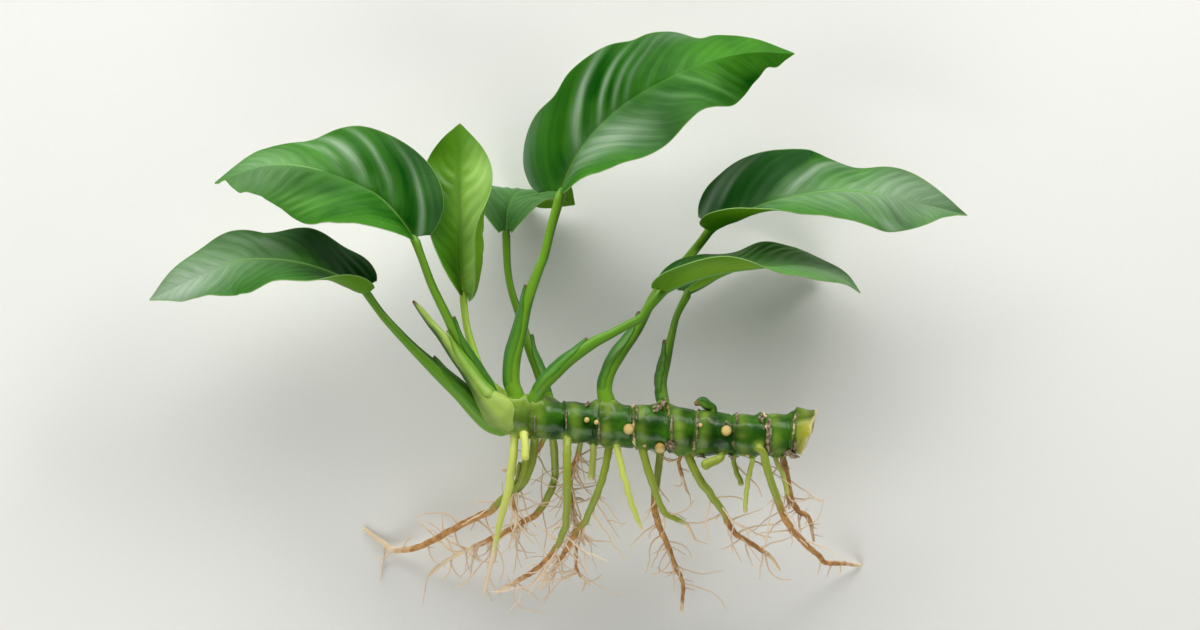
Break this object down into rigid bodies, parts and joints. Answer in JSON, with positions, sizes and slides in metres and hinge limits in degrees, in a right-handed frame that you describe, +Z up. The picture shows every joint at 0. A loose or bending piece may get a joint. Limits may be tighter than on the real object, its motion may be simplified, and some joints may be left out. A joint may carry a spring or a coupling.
{
  "type": "bare-root anubias plant",
  "caption": "Bare-root anubias, a water plant: a green creeping rhizome with broad glossy leaves on long stalks and trailing roots, lying on its back.",
  "frame": {"origin": "centre of the bounding box, on the surface the plant lies on", "axes": "+X along the rhizome from its growing crown to its cut end, +Y the way the leaves grew, +Z up off the surface"},
  "size_m": [0.2871, 0.205, 0.0774],
  "materials": {
    "rhizome": "glossy green skin with brown leaf scars",
    "petiole": "smooth satin",
    "sheath": "smooth satin",
    "blade": "waxy, glossy on the upper side",
    "young_blade": "waxy satin",
    "root": "matte, brown to whitish",
    "green_root": "satin, lime green",
    "bud": "satin"
  },
  "bodies": {
    "root": {"rhizome": "rhizome", "petiole_left_low": "petiole", "petiole_left_high": "petiole", "petiole_young": "petiole", "petiole_rear": "petiole", "petiole_top": "petiole", "petiole_right_high": "petiole", "petiole_right_low": "petiole", "petiole_right_rear": "petiole", "young_sheath": "sheath", "blade_left_low": "blade", "blade_left_high": "blade", "blade_young": "young_blade", "blade_rear": "blade", "blade_top": "blade", "blade_right_high": "blade", "blade_right_low": "blade", "blade_right_rear": "blade", "root_01": "green_root", "root_02": "green_root", "root_03": "root", "root_03_branch": "root", "root_04": "root", "root_05": "root", "root_06": "root", "root_06_branch": "root", "root_07": "green_root", "root_08": "green_root", "root_09": "root", "root_10": "root", "root_11": "root", "root_12": "root", "root_13": "green_root", "root_14": "root", "root_15": "green_root", "root_16": "root", "root_17": "root", "root_18": "root", "root_19": "root", "root_20": "green_root", "root_21": "root", "bud_front": "bud", "bud_lower": "bud", "bud_right": "bud", "shoot_bud": "bud"}
  },
  "joints": []
}
